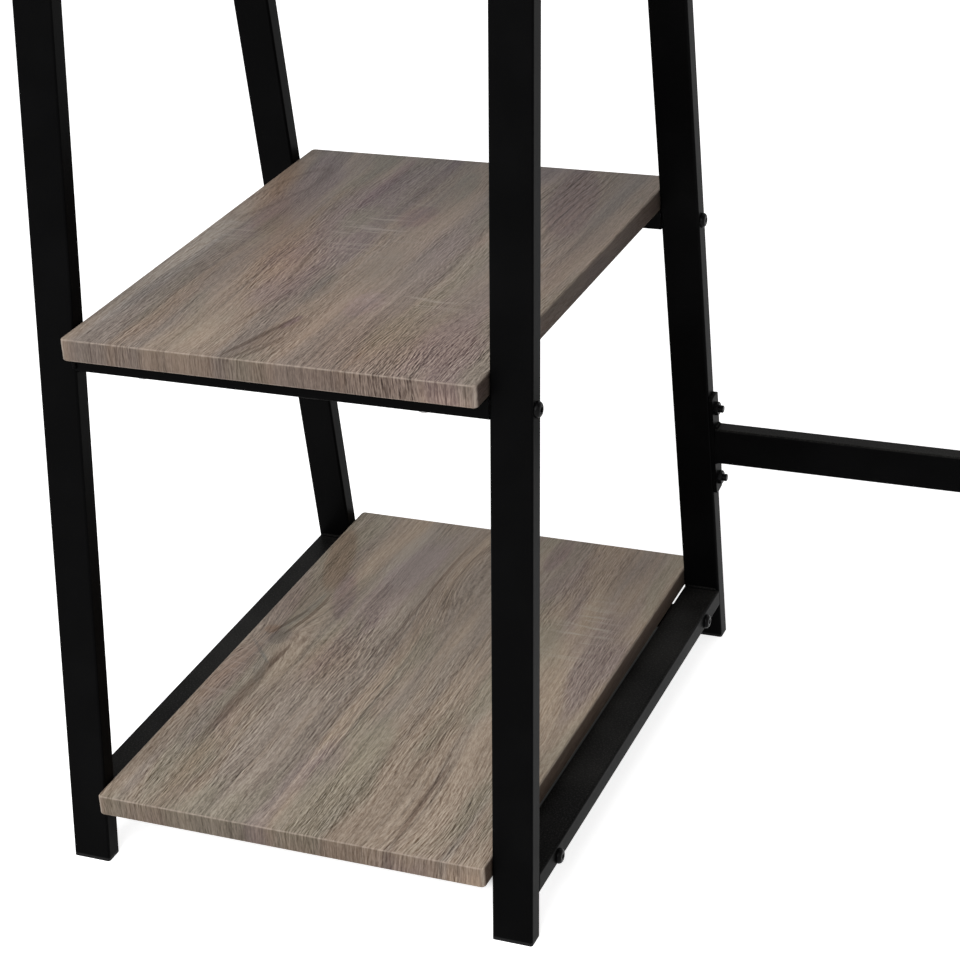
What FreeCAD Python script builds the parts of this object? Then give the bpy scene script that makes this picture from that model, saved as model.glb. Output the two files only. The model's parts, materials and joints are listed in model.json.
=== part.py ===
import FreeCAD, Part
import math
import os
import re
import Sketcher
from FreeCAD import Rotation, Vector

# A desk on two trestles. The left one is a tower: two A-shaped side frames with two shelves
# between them. The right one is a single side frame. A tube low at the back ties the two.
# Millimetres. X runs along the desk, Y from front to back, Z up. The origin lies on the floor,
# under the middle of the desktop.

# Driving sizes. Each is written once, here, and lives in the sheet under this name.
sizes = {
    # desktop
    "desk_length": 1120.0,
    "desk_depth": 480.0,
    "desk_height": 750.0,
    "top_thickness": 15.0,
    "end_overhang": 25.0,
    # side frames: legs, rails and what they are made of
    "foot_inset": 46.0,
    "leg_width": 25.0,
    "leg_depth": 12.5,
    "leg_lean": 7.1,
    "tube_wall": 1.2,
    "tube_corner": 1.5,
    "tower_width": 306.0,
    "rail_height": 12.5,
    "rail_clearance": 27.5,
    "foot_thickness": 2.0,
    "foot_stem": 14.0,
    "foot_play": 0.2,
    # bars that carry the shelves and the desktop
    "bar_depth": 15.0,
    "bar_height": 12.5,
    "bar_drop": 1.5,
    "lower_bar_gap": 23.0,
    "upper_bar_level": 322.0,
    "support_bar_gap": 12.0,
    "insert_length": 15.0,
    # shelf boards
    "shelf_thickness": 13.5,
    "shelf_side_gap": 0.7,
    "lower_shelf_reach": 9.2,
    "upper_shelf_reach": 15.7,
    "board_corner": 3.0,
    "board_edge": 1.2,
    # stretcher
    "stretcher_level": 157.5,
    "stretcher_height": 25.0,
    "stretcher_depth": 12.5,
    "plate_length": 74.0,
    "plate_thickness": 2.5,
    "plate_corner": 2.0,
    "plate_bolt_spacing": 54.0,
    # fasteners
    "bolt_diameter": 5.0,
    "bolt_play": 0.5,
    "thread_play": 0.2,
    "bolt_head": 9.5,
    "bolt_head_height": 2.75,
    "bolt_head_round": 2.2,
    "bolt_socket": 3.0,
    "bolt_socket_depth": 1.6,
    "stud_tip": 2.9,
    "stud_round": 0.7,
    "nut_size": 8.0,
    "nut_thickness": 2.7,
    "nut_chamfer": 0.6,
    "screw_diameter": 4.0,
    "screw_head": 8.0,
    "screw_head_height": 2.4,
    "screw_head_round": 1.6,
    "screw_slot": 2.6,
    "screw_slot_depth": 1.5,
    "top_screw_grip": 11.0,
    "shelf_screw_grip": 8.0,
    "top_screw_gap": 25.0,
    "shelf_screw_inset": 40.0,
}

# Levels and places worked out from the driving sizes.
base_depth = "(desk_depth - 2 * foot_inset)"
run = "tan(leg_lean)"
section_depth = "(leg_depth / cos(leg_lean))"
section_wall = "(tube_wall / cos(leg_lean))"
leg_top = "(desk_height - top_thickness)"
lower_rail_top = "(rail_clearance + rail_height)"
tower_left = "(end_overhang - desk_length / 2)"
tower_inner = "(end_overhang - desk_length / 2 + leg_width)"
frame_inner = "(end_overhang - desk_length / 2 + tower_width - leg_width)"
tower_right = "(end_overhang - desk_length / 2 + tower_width)"
trestle_left = "(desk_length / 2 - end_overhang - leg_width)"
trestle_right = "(desk_length / 2 - end_overhang)"
shelf_bar_length = "(tower_width - 2 * leg_width)"
support_bar_length = "(desk_length - 2 * end_overhang - tower_width - leg_width)"
lower_shelf_level = f"({lower_rail_top} - bar_drop)"
lower_bar_bottom = f"({lower_shelf_level} - bar_height)"
upper_shelf_level = "(upper_bar_level + bar_height / 2)"
upper_bar_bottom = "(upper_bar_level - bar_height / 2)"
support_bar_bottom = f"({leg_top} - bar_height)"
shelf_width = "(tower_width - 2 * leg_width - 2 * shelf_side_gap)"

# Turns of a part's own axes.
along_x = Rotation(Vector(1, 1, 1), 120)
half_turn = Rotation(Vector(0, 0, 1), 180)
to_right = Rotation(Vector(0, 1, 0), 90)
to_left = Rotation(Vector(0, 1, 0), -90)
upside_down = Rotation(Vector(1, 0, 0), 180)
upright = Rotation()

doc = FreeCAD.newDocument("ladder_desk")
sub_parts = []


def make_sheet():
    """Write the driving sizes into the sheet, one row each."""
    sheet = doc.addObject("Spreadsheet::Sheet", "Sizes")
    for row, (name, value) in enumerate(sizes.items(), start=1):
        sheet.set(f"A{row}", name)
        sheet.set(f"B{row}", str(value))
        sheet.setAlias(f"B{row}", name)
    doc.recompute()
    return sheet


def bind(feature, path, formula):
    """Tie a property to a formula of the sheet's names."""
    def named(match):
        word = match.group()
        return "Sizes." + word if word in sizes else word
    feature.setExpression(path, re.sub(r"[a-z_]+", named, formula))


def place(feature, x="0", y="0", z="0", turn=upright):
    """Turn a part and bind the place of its own origin."""
    feature.Placement = FreeCAD.Placement(Vector(), turn)
    for axis, formula in zip("xyz", (x, y, z)):
        bind(feature, f"Placement.Base.{axis}", formula)


def leg_face(level):
    """Distance from the middle plane to a leg's outer face at a level."""
    return f"({base_depth} / 2 - ({level}) * {run})"


def leg_middle(level):
    """Distance from the middle plane to the middle of a leg at a level."""
    return f"({leg_face(level)} - {section_depth} / 2)"


def beside_leg(level, gap):
    """Distance from the middle plane to the middle of a bar that keeps a gap to a leg."""
    return f"({leg_face(level)} - {section_depth} - {gap} - bar_depth / 2)"


# Sketches

def new_body(label):
    body = doc.addObject("PartDesign::Body", label)
    body.Label = label
    return body


def new_sketch(body, role):
    """A sketch on one of the body's own origin planes."""
    sketch = body.newObject("Sketcher::SketchObject", body.Label + "_sketch")
    plane = [item for item in body.Origin.OriginFeatures if item.Role == role][0]
    sketch.AttachmentSupport = (plane, "")
    sketch.MapMode = "FlatFace"
    return sketch


def dimension(sketch, kind, points, seed, formula):
    """A dimension of the sketch, bound to a formula."""
    index = sketch.addConstraint(Sketcher.Constraint(kind, *points, seed))
    name = f"size_{index}"
    sketch.renameConstraint(index, name)
    bind(sketch, f"Constraints.{name}", formula)


def add_polygon(sketch, points):
    """A closed outline of straight lines; returns the number of its first line."""
    count = len(points)
    first = len(sketch.Geometry)
    for index in range(count):
        start = Vector(*points[index], 0)
        end = Vector(*points[(index + 1) % count], 0)
        sketch.addGeometry(Part.LineSegment(start, end), False)
    for index in range(count):
        following = first + (index + 1) % count
        sketch.addConstraint(Sketcher.Constraint("Coincident", first + index, 2, following, 1))
    return first


def add_rectangle(sketch, width, depth, left=None, low=None):
    """A rectangle with its lower left corner on the origin, or left and low away from it."""
    first = add_polygon(sketch, [(1, 1), (9, 1), (9, 5), (1, 5)])
    for side, kind in enumerate(("Horizontal", "Vertical", "Horizontal", "Vertical")):
        sketch.addConstraint(Sketcher.Constraint(kind, first + side))
    dimension(sketch, "DistanceX", (first, 1, first, 2), 8, width)
    dimension(sketch, "DistanceY", (first + 1, 1, first + 1, 2), 4, depth)
    if left is None:
        sketch.addConstraint(Sketcher.Constraint("Coincident", first, 1, -1, 1))
    else:
        dimension(sketch, "DistanceX", (-1, 1, first, 1), 1, left)
        dimension(sketch, "DistanceY", (-1, 1, first, 1), 1, low)


def add_circle(sketch, diameter, across=None, up=None):
    """A circle on the origin, or across and up from it; returns its number."""
    circle = sketch.addGeometry(Part.Circle(Vector(3, 2, 0), Vector(0, 0, 1), 1), False)
    dimension(sketch, "Diameter", (circle,), 2, diameter)
    if across is None:
        sketch.addConstraint(Sketcher.Constraint("Coincident", circle, 3, -1, 1))
    else:
        dimension(sketch, "DistanceX", (-1, 1, circle, 3), 3, across)
        dimension(sketch, "DistanceY", (-1, 1, circle, 3), 2, up)
    return circle


def add_hexagon(sketch, across_flats):
    """A regular hexagon round the origin, with two flats parallel to the sketch's Y."""
    corners = [(4 * math.cos(math.radians(60 * k - 30)), 4 * math.sin(math.radians(60 * k - 30)))
               for k in range(6)]
    first = add_polygon(sketch, corners)
    ring = sketch.addGeometry(Part.Circle(Vector(), Vector(0, 0, 1), 4), True)
    sketch.addConstraint(Sketcher.Constraint("Coincident", ring, 3, -1, 1))
    for side in range(6):
        sketch.addConstraint(Sketcher.Constraint("PointOnObject", first + side, 1, ring))
    for side in range(1, 6):
        sketch.addConstraint(Sketcher.Constraint("Equal", first, first + side))
    sketch.addConstraint(Sketcher.Constraint("Vertical", first))
    dimension(sketch, "Diameter", (ring,), 8, f"{across_flats} / cos(30)")


# Features

def lean_along(feature):
    """Make a pad or pocket follow a leg's slope, its length still measured upright."""
    feature.UseCustomVector = True
    feature.AlongSketchNormal = True
    feature.Direction = Vector(0, 0.1, 1)
    bind(feature, "Direction.y", run)


def pad(body, sketch, length, leaning=False, down=False):
    feature = body.newObject("PartDesign::Pad", body.Label + "_pad")
    feature.Profile = sketch
    feature.Reversed = down
    if leaning:
        lean_along(feature)
    bind(feature, "Length", length)
    doc.recompute()
    return feature


def cut(body, sketch, depth=None, leaning=False, inwards=True):
    """A pocket right through, or to a depth into the side that the sketch's normal points to."""
    before = body.Shape.Volume
    feature = body.newObject("PartDesign::Pocket", body.Label + "_pocket")
    feature.Profile = sketch
    if leaning:
        lean_along(feature)
    if depth is None:
        feature.Type = "ThroughAll"
        feature.Midplane = True
    else:
        feature.Reversed = inwards
        bind(feature, "Length", depth)
    doc.recompute()
    if body.Shape.Volume >= before:
        raise RuntimeError(f"{body.Label}: a pocket cuts nothing")
    return feature


def edges_along(shape, direction):
    """Names of the straight edges parallel to a direction."""
    names = []
    for number, edge in enumerate(shape.Edges, start=1):
        if edge.Curve.TypeId != "Part::GeomLine":
            continue
        if edge.tangentAt(edge.FirstParameter).cross(direction).Length < 1e-6:
            names.append(f"Edge{number}")
    return names


def edges_at(shape, level):
    """Names of the edges that lie level at one height."""
    return [f"Edge{number}" for number, edge in enumerate(shape.Edges, start=1)
            if abs(edge.BoundBox.ZMin - level) < 1e-6 and abs(edge.BoundBox.ZMax - level) < 1e-6]


def round_edges(body, base, names, radius):
    feature = body.newObject("PartDesign::Fillet", body.Label + "_round")
    feature.Base = (base, names)
    bind(feature, "Radius", radius)
    doc.recompute()
    return feature


def drill(body, role, diameter, places):
    """Holes right through, each across and up from the plane's origin."""
    sketch = new_sketch(body, role)
    for across, up in places:
        add_circle(sketch, diameter, across, up)
    cut(body, sketch)


def drill_mirrored(body, role, diameter, across, up, axis):
    """Two holes right through, one the mirror image of the other in an axis of the sketch."""
    sketch = new_sketch(body, role)
    one = add_circle(sketch, diameter, across, up)
    other = sketch.addGeometry(Part.Circle(Vector(-3, -2, 0), Vector(0, 0, 1), 1), False)
    sketch.addConstraint(Sketcher.Constraint("Equal", one, other))
    sketch.addConstraint(Sketcher.Constraint("Symmetric", one, 3, other, 3, axis))
    cut(body, sketch)


def keep(feature):
    sub_parts.append(feature)
    return feature


# Tubes

def make_tube(label, width, depth, length, leaning=False):
    """A tube that stands on its own XY plane, one corner of its section on the origin."""
    body = new_body(label)
    outside = new_sketch(body, "XY_Plane")
    add_rectangle(outside, width, depth)
    solid = pad(body, outside, length, leaning)
    slope = math.tan(math.radians(sizes["leg_lean"])) if leaning else 0
    long_edges = edges_along(solid.Shape, Vector(0, slope, 1).normalize())
    round_edges(body, solid, long_edges, "tube_corner")
    inside = new_sketch(body, "XY_Plane")
    side_wall = section_wall if leaning else "tube_wall"
    add_rectangle(inside, f"{width} - 2 * tube_wall", f"{depth} - 2 * {side_wall}",
                  "tube_wall", side_wall)
    cut(body, inside, leaning=leaning)
    return body


def drill_leg(body, diameter, levels):
    """Holes across a leg, on the middle line of its side."""
    places = []
    for level in levels:
        height = f"({level} - foot_thickness)"
        places.append((f"{section_depth} / 2 + {height} * {run}", height))
    drill(body, "YZ_Plane", diameter, places)


def make_leg(label, frame_left, back, bolt_levels=(), stud_levels=()):
    """A leg of an A frame, cut level at both ends. A back leg is a front one turned round."""
    body = make_tube(label, "leg_width", section_depth, f"{leg_top} - foot_thickness", True)
    if bolt_levels:
        drill_leg(body, "bolt_diameter + bolt_play", bolt_levels)
    if stud_levels:
        drill_leg(body, "bolt_diameter", stud_levels)
    face = leg_face("foot_thickness")
    if back:
        place(body, f"{frame_left} + leg_width", face, "foot_thickness", half_turn)
    else:
        place(body, frame_left, f"-{face}", "foot_thickness")
    return keep(body)


def make_rail(label, frame_left, low, bolt_offset=None, bolt_height=None, screws=False):
    """A rail between the two legs of a frame, its ends cut to their slope."""
    body = new_body(label)
    side = new_sketch(body, "YZ_Plane")
    first = add_polygon(side, [(-9, 0), (9, 0), (8, 4), (-8, 4)])
    side.addConstraint(Sketcher.Constraint("PointOnObject", first, 1, -1))
    side.addConstraint(Sketcher.Constraint("Symmetric", first, 1, first, 2, -2))
    side.addConstraint(Sketcher.Constraint("Symmetric", first + 2, 1, first + 2, 2, -2))
    bottom_half = f"({leg_face(low)} - {section_depth})"
    top_half = f"({leg_face(low + ' + rail_height')} - {section_depth})"
    dimension(side, "DistanceX", (first, 1, first, 2), 18, f"2 * {bottom_half}")
    dimension(side, "DistanceX", (first + 2, 2, first + 2, 1), 16, f"2 * {top_half}")
    dimension(side, "DistanceY", (first + 1, 1, first + 1, 2), 4, "rail_height")
    solid = pad(body, side, "leg_width")
    round_edges(body, solid, edges_along(solid.Shape, Vector(0, 1, 0)), "tube_corner")
    inside = new_sketch(body, "XZ_Plane")
    add_rectangle(inside, "leg_width - 2 * tube_wall", "rail_height - 2 * tube_wall",
                  "tube_wall", "tube_wall")
    cut(body, inside)
    if bolt_offset:
        drill_mirrored(body, "YZ_Plane", "bolt_diameter + bolt_play", bolt_offset, bolt_height, -2)
    if screws:
        drill_mirrored(body, "XY_Plane", "screw_diameter + bolt_play",
                       "leg_width / 2", top_screw_offset, -1)
    place(body, frame_left, "0", low)
    return keep(body)


def make_bar(label, left, middle, bottom, length, screws=False):
    """A bar along the desk, its Y middle and underside given, with screw holes if it has any."""
    body = make_tube(label, "bar_depth", "bar_height", length)
    if screws:
        drill(body, "XZ_Plane", "screw_diameter + bolt_play",
              [("bar_depth / 2", place_along) for place_along in screws])
    place(body, left, f"{middle} - bar_depth / 2", bottom, along_x)
    return keep(body)


# Boards

def make_board(label, length, depth, thickness, holes, grip):
    """A board on its own XY plane, corners and edges eased, with blind holes in its underside."""
    body = new_body(label)
    outline = new_sketch(body, "XY_Plane")
    add_rectangle(outline, length, depth)
    solid = pad(body, outline, thickness)
    rounded = round_edges(body, solid, edges_along(solid.Shape, Vector(0, 0, 1)), "board_corner")
    top = rounded.Shape.BoundBox.ZMax
    names = edges_at(rounded.Shape, 0) + edges_at(rounded.Shape, top)
    round_edges(body, rounded, names, "board_edge")
    pilots = new_sketch(body, "XY_Plane")
    for across, up in holes:
        add_circle(pilots, "screw_diameter + thread_play", across, up)
    cut(body, pilots, depth=grip)
    return keep(body)


def make_shelf(label, level, reach, bar_middle):
    """A shelf between the tower's frames; it reaches past the legs' outer faces."""
    half_depth = f"({leg_face(level)} + {reach})"
    holes = []
    for across in ("shelf_screw_inset", f"{shelf_width} - shelf_screw_inset"):
        for sign in ("-", "+"):
            holes.append((across, f"{half_depth} {sign} {bar_middle}"))
    body = make_board(label, shelf_width, f"2 * {half_depth}", "shelf_thickness", holes,
                      "shelf_screw_grip")
    place(body, f"{tower_inner} + shelf_side_gap", f"-{half_depth}", level)


def make_desktop():
    """The worktop, with screw holes over the side frames' top rails."""
    holes = []
    for across in top_screw_places:
        for sign in ("-", "+"):
            holes.append((f"{across} + desk_length / 2",
                          f"desk_depth / 2 {sign} {top_screw_offset}"))
    body = make_board("desktop_board", "desk_length", "desk_depth", "top_thickness",
                      holes, "top_screw_grip")
    place(body, "-desk_length / 2", "-desk_depth / 2", leg_top)


# Stretcher

def make_stretcher():
    """The tube between the two end plates, on the back legs' middle line."""
    length = f"{trestle_left} - {tower_right} - 2 * plate_thickness"
    body = make_tube("stretcher_tube", "stretcher_depth", "stretcher_height", length)
    place(body, f"{tower_right} + plate_thickness",
          f"{leg_middle('stretcher_level')} - stretcher_depth / 2",
          "stretcher_level - stretcher_height / 2", along_x)
    keep(body)


def make_plate(label, left):
    """An end plate that lies along a back leg, with a hole above and one below the tube."""
    body = new_body(label)
    outline = new_sketch(body, "YZ_Plane")
    add_rectangle(outline, "leg_depth", "plate_length")
    solid = pad(body, outline, "plate_thickness")
    round_edges(body, solid, edges_along(solid.Shape, Vector(1, 0, 0)), "plate_corner")
    drill(body, "YZ_Plane", "bolt_diameter + bolt_play",
          [("leg_depth / 2", f"(plate_length {sign} plate_bolt_spacing) / 2") for sign in "-+"])
    turn = Rotation(Vector(1, 0, 0), sizes["leg_lean"])
    face = leg_face("stretcher_level")
    lower = f"{face} - {section_depth} / 2 - leg_depth / 2 * cos(leg_lean)"
    place(body, left, f"{lower} + plate_length / 2 * sin(leg_lean)",
          "stretcher_level - plate_length / 2 * cos(leg_lean) - leg_depth / 2 * sin(leg_lean)", turn)
    bind(body, "Placement.Rotation.Angle", "leg_lean")
    keep(body)


# Small pieces: one of each is drawn, and a group holds its copies in their places.

def draw_foot():
    """A plug for a leg's lower end: a sole with the leg's outline and a stem inside the tube."""
    body = new_body("foot_plug_pattern")
    sole = new_sketch(body, "XY_Plane")
    add_rectangle(sole, "leg_width", section_depth)
    solid = pad(body, sole, "foot_thickness", leaning=True)
    slope = Vector(0, math.tan(math.radians(sizes["leg_lean"])), 1).normalize()
    round_edges(body, solid, edges_along(solid.Shape, slope), "tube_corner")
    stem = new_sketch(body, "XY_Plane")
    add_rectangle(stem, "leg_width - 2 * tube_wall - 2 * foot_play",
                  f"{section_depth} - 2 * {section_wall} - 2 * foot_play",
                  "tube_wall + foot_play", f"{section_wall} + foot_play")
    pad(body, stem, "foot_thickness + foot_stem", leaning=True)
    return body


def draw_insert():
    """A threaded block that fills the end of a bar."""
    body = new_body("bar_insert_pattern")
    outline = new_sketch(body, "XY_Plane")
    add_rectangle(outline, "bar_depth - 2 * tube_wall", "bar_height - 2 * tube_wall",
                  "tube_wall", "tube_wall")
    pad(body, outline, "insert_length")
    drill(body, "XY_Plane", "bolt_diameter + thread_play", [("bar_depth / 2", "bar_height / 2")])
    return body


def draw_round_head(label, diameter, length, head, height, rounding, socket, socket_depth):
    """A fastener along its own Z: shank below the origin, domed head above, hexagonal socket."""
    body = new_body(label)
    shank = new_sketch(body, "XY_Plane")
    add_circle(shank, diameter)
    pad(body, shank, length, down=True)
    rim = new_sketch(body, "XY_Plane")
    add_circle(rim, head)
    solid = pad(body, rim, height)
    top = solid.Shape.BoundBox.ZMax
    rounded = round_edges(body, solid, edges_at(solid.Shape, top), rounding)
    hexagon = new_sketch(body, "XY_Plane")
    hexagon.AttachmentOffset = FreeCAD.Placement(Vector(0, 0, top), upright)
    bind(hexagon, "AttachmentOffset.Base.z", height)
    add_hexagon(hexagon, socket)
    cut(body, hexagon, depth=socket_depth, inwards=False)
    return body


def draw_stud():
    """A headless stud that runs up from its own XY plane, its tip rounded off."""
    body = new_body("stud_pattern")
    outline = new_sketch(body, "XY_Plane")
    add_circle(outline, "bolt_diameter")
    solid = pad(body, outline, "leg_width + plate_thickness + nut_thickness + stud_tip")
    round_edges(body, solid, edges_at(solid.Shape, solid.Shape.BoundBox.ZMax), "stud_round")
    return body


def draw_nut():
    """A hexagon nut that stands on its own XY plane, its upper corners turned off."""
    body = new_body("nut_pattern")
    hexagon = new_sketch(body, "XY_Plane")
    add_hexagon(hexagon, "nut_size")
    pad(body, hexagon, "nut_thickness")
    drill(body, "XY_Plane", "bolt_diameter + thread_play", [("0", "0")])
    corner = new_sketch(body, "XZ_Plane")
    first = add_polygon(corner, [(5, 5), (9, 5), (9, 3)])
    corner.addConstraint(Sketcher.Constraint("Horizontal", first))
    corner.addConstraint(Sketcher.Constraint("Vertical", first + 1))
    dimension(corner, "DistanceX", (-1, 1, first, 1), 5, "nut_size / 2")
    dimension(corner, "DistanceY", (-1, 1, first, 1), 5, "nut_thickness")
    dimension(corner, "DistanceX", (first, 1, first, 2), 4, "nut_size / 2 / cos(30) - nut_size / 2")
    dimension(corner, "DistanceY", (first + 1, 2, first + 1, 1), 2, "nut_chamfer")
    before = body.Shape.Volume
    groove = body.newObject("PartDesign::Groove", "nut_pattern_groove")
    groove.Profile = corner
    groove.ReferenceAxis = (corner, ["V_Axis"])
    groove.Angle = 360
    doc.recompute()
    if body.Shape.Volume >= before:
        raise RuntimeError("the nut's chamfer cuts nothing")
    return body


def make_group(label, pattern, places):
    """Copies of a pattern, each with its place and turn, as one sub-part of separate solids."""
    copies = []
    for number, (x, y, z, turn) in enumerate(places, start=1):
        copy = doc.addObject("App::Link", f"{label}_{number}")
        copy.LinkedObject = pattern
        copy.LinkTransform = False
        place(copy, x, y, z, turn)
        copies.append(copy)
    group = doc.addObject("Part::Compound", label)
    group.Label = label
    group.Links = copies
    return keep(group)


def make_feet(frames):
    foot = draw_foot()
    places = []
    for left in frames:
        places.append((left, f"-{base_depth} / 2", "0", upright))
        places.append((f"{left} + leg_width", f"{base_depth} / 2", "0", half_turn))
    make_group("foot_plugs", foot, places)


def left_ends(bars, head):
    """The left ends of bars: where an insert and a bolt head lie, and the bolt's turn."""
    return [(left, head, to_left, middle, bottom) for left, middle, bottom, length in bars]


def right_ends(bars, head):
    """The right ends of bars: where an insert and a bolt head lie, and the bolt's turn."""
    return [(f"{left} + {length} - insert_length", head, to_right, middle, bottom)
            for left, middle, bottom, length in bars]


def make_inserts(ends):
    """A threaded block inside each bolted end, flush with it."""
    make_group("bar_end_inserts", draw_insert(),
               [(start, f"{middle} - bar_depth / 2", bottom, along_x)
                for start, head, turn, middle, bottom in ends])


def make_bar_bolts(pattern, label, ends):
    """A bolt into each bolted end, its head on the far side of the frame."""
    make_group(label, pattern, [(head, middle, f"{bottom} + bar_height / 2", turn)
                                for start, head, turn, middle, bottom in ends])


def stud_levels():
    step = "plate_bolt_spacing / 2 * cos(leg_lean)"
    return [f"(stretcher_level {sign} {step})" for sign in "-+"]


# The model

make_sheet()
lower_middle = beside_leg(lower_rail_top, "lower_bar_gap")
upper_middle = leg_middle("upper_bar_level")
support_middle = beside_leg(leg_top, "support_bar_gap")
top_screw_offset = f"({support_middle} - top_screw_gap)"
top_screw_places = [f"({left} + leg_width / 2)" for left in (tower_left, frame_inner, trestle_left)]
shelf_screws = ["shelf_side_gap + shelf_screw_inset",
                f"{shelf_bar_length} - shelf_side_gap - shelf_screw_inset"]
lower_bars = [(tower_inner, f"{sign}{lower_middle}", lower_bar_bottom, shelf_bar_length)
              for sign in ("-", "")]
upper_bars = [(tower_inner, f"{sign}{upper_middle}", upper_bar_bottom, shelf_bar_length)
              for sign in ("-", "")]
support_bars = [(tower_right, f"{sign}{support_middle}", support_bar_bottom, support_bar_length)
                for sign in ("-", "")]

# Side frames: two for the tower, one for the right trestle. The shelf bars are welded to the
# tower's outer frame and bolted to its inner one.
lower_bolt_height = "(rail_height - bar_drop - bar_height / 2)"
for name, left, shelf_bolted, stretcher_frame in (
        ("tower_outer", tower_left, False, False),
        ("tower_inner", frame_inner, True, True),
        ("trestle", trestle_left, False, True)):
    bolt_levels = ["upper_bar_level"] if shelf_bolted else []
    make_leg(f"{name}_front_leg", left, False, bolt_levels)
    make_leg(f"{name}_back_leg", left, True, bolt_levels, stud_levels() if stretcher_frame else [])
    make_rail(f"{name}_lower_rail", left, "rail_clearance",
              lower_middle if shelf_bolted else None, lower_bolt_height)
    make_rail(f"{name}_top_rail", left, f"{leg_top} - rail_height",
              support_middle if stretcher_frame else None, "rail_height / 2", screws=True)

# Bars under the shelves and under the desktop.
for place_name, bars, screws in (("lower_shelf", lower_bars, shelf_screws),
                                 ("upper_shelf", upper_bars, shelf_screws),
                                 ("top_support", support_bars, False)):
    for end, (left, middle, bottom, length) in zip(("front", "back"), bars):
        make_bar(f"{place_name}_{end}_bar", left, middle, bottom, length, screws)

# Boards.
make_shelf("lower_shelf_board", lower_shelf_level, "lower_shelf_reach", lower_middle)
make_shelf("upper_shelf_board", upper_shelf_level, "upper_shelf_reach", upper_middle)
make_desktop()

# Stretcher with its two end plates.
make_stretcher()
make_plate("stretcher_left_plate", tower_right)
make_plate("stretcher_right_plate", f"{trestle_left} - plate_thickness")

# Feet, inserts and fasteners.
make_feet((tower_left, frame_inner, trestle_left))
shelf_ends = right_ends(lower_bars + upper_bars, tower_right)
support_ends = left_ends(support_bars, frame_inner) + right_ends(support_bars, trestle_right)
make_inserts(shelf_ends + support_ends)

bar_bolt = draw_round_head("bar_bolt_pattern", "bolt_diameter", "leg_width + insert_length",
                           "bolt_head", "bolt_head_height", "bolt_head_round",
                           "bolt_socket", "bolt_socket_depth")
make_bar_bolts(bar_bolt, "shelf_bar_bolts", shelf_ends)
make_bar_bolts(bar_bolt, "support_bar_bolts", support_ends)

# Studs start flush with the far face of their leg and point at the stretcher.
stud_places = []
nut_places = []
for level in stud_levels():
    middle = leg_middle(level)
    stud_places.append((frame_inner, middle, level, to_right))
    stud_places.append((trestle_right, middle, level, to_left))
    nut_places.append((f"{tower_right} + plate_thickness", middle, level, to_right))
    nut_places.append((f"{trestle_left} - plate_thickness", middle, level, to_left))
make_group("stretcher_studs", draw_stud(), stud_places)
make_group("stretcher_nuts", draw_nut(), nut_places)

top_screw = draw_round_head("top_screw_pattern", "screw_diameter", "rail_height + top_screw_grip",
                            "screw_head", "screw_head_height", "screw_head_round",
                            "screw_slot", "screw_slot_depth")
make_group("desktop_screws", top_screw,
           [(across, f"{sign}{top_screw_offset}", f"{leg_top} - rail_height", upside_down)
            for across in top_screw_places for sign in ("-", "")])
shelf_screw = draw_round_head("shelf_screw_pattern", "screw_diameter",
                              "bar_height + shelf_screw_grip",
                              "screw_head", "screw_head_height", "screw_head_round",
                              "screw_slot", "screw_slot_depth")
make_group("shelf_screws", shelf_screw,
           [(f"{left} + {across}", middle, bottom, upside_down)
            for left, middle, bottom, length in lower_bars + upper_bars for across in shelf_screws])

doc.recompute()

# Every object must have built, and every sub-part must be sound, before anything is written.
for feature in doc.Objects:
    if "Invalid" in feature.State or "Error" in feature.State:
        raise RuntimeError(f"{feature.Label} failed: {feature.State}")
for feature in sub_parts:
    if feature.Shape.isNull() or not feature.Shape.isValid():
        raise RuntimeError(f"{feature.Label} has no sound shape")

os.makedirs("parts", exist_ok=True)
for feature in sub_parts:
    feature.Shape.exportStep(f"parts/{feature.Label}.step")
    print(feature.Label, len(feature.Shape.Solids), round(feature.Shape.Volume, 1))
print("sub-parts", len(sub_parts))
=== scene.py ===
import json
import math

import bmesh
import bpy
from mathutils import Matrix, Vector


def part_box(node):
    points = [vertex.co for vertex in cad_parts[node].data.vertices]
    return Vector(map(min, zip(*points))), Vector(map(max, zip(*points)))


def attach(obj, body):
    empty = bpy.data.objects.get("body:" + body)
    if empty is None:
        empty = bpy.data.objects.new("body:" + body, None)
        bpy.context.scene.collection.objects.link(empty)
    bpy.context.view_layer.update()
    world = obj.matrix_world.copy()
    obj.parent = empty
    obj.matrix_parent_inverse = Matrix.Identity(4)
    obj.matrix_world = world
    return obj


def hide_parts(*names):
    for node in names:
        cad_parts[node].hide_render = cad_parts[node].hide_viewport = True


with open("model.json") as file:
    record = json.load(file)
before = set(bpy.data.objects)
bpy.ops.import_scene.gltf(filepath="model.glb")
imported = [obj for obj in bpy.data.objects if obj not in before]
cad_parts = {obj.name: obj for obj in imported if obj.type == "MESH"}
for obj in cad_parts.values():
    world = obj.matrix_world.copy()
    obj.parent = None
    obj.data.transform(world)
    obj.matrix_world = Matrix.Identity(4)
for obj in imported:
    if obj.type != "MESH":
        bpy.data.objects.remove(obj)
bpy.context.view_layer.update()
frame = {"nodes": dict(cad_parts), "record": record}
print("frame:", len(frame["nodes"]), "nodes")


# node helpers

def addNode(tree, kind, **settings):
    node = tree.nodes.new(kind)
    count = len(tree.nodes) - 1
    node.location = (count // 5 * 210 - 1800, 500 - count % 5 * 190)
    for name, value in settings.items():
        setattr(node, name, value)
    return node


def feed(tree, socket, source):  # a link from another socket, or a plain value
    if isinstance(source, bpy.types.NodeSocket):
        tree.links.new(source, socket)
    else:
        socket.default_value = source


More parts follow.
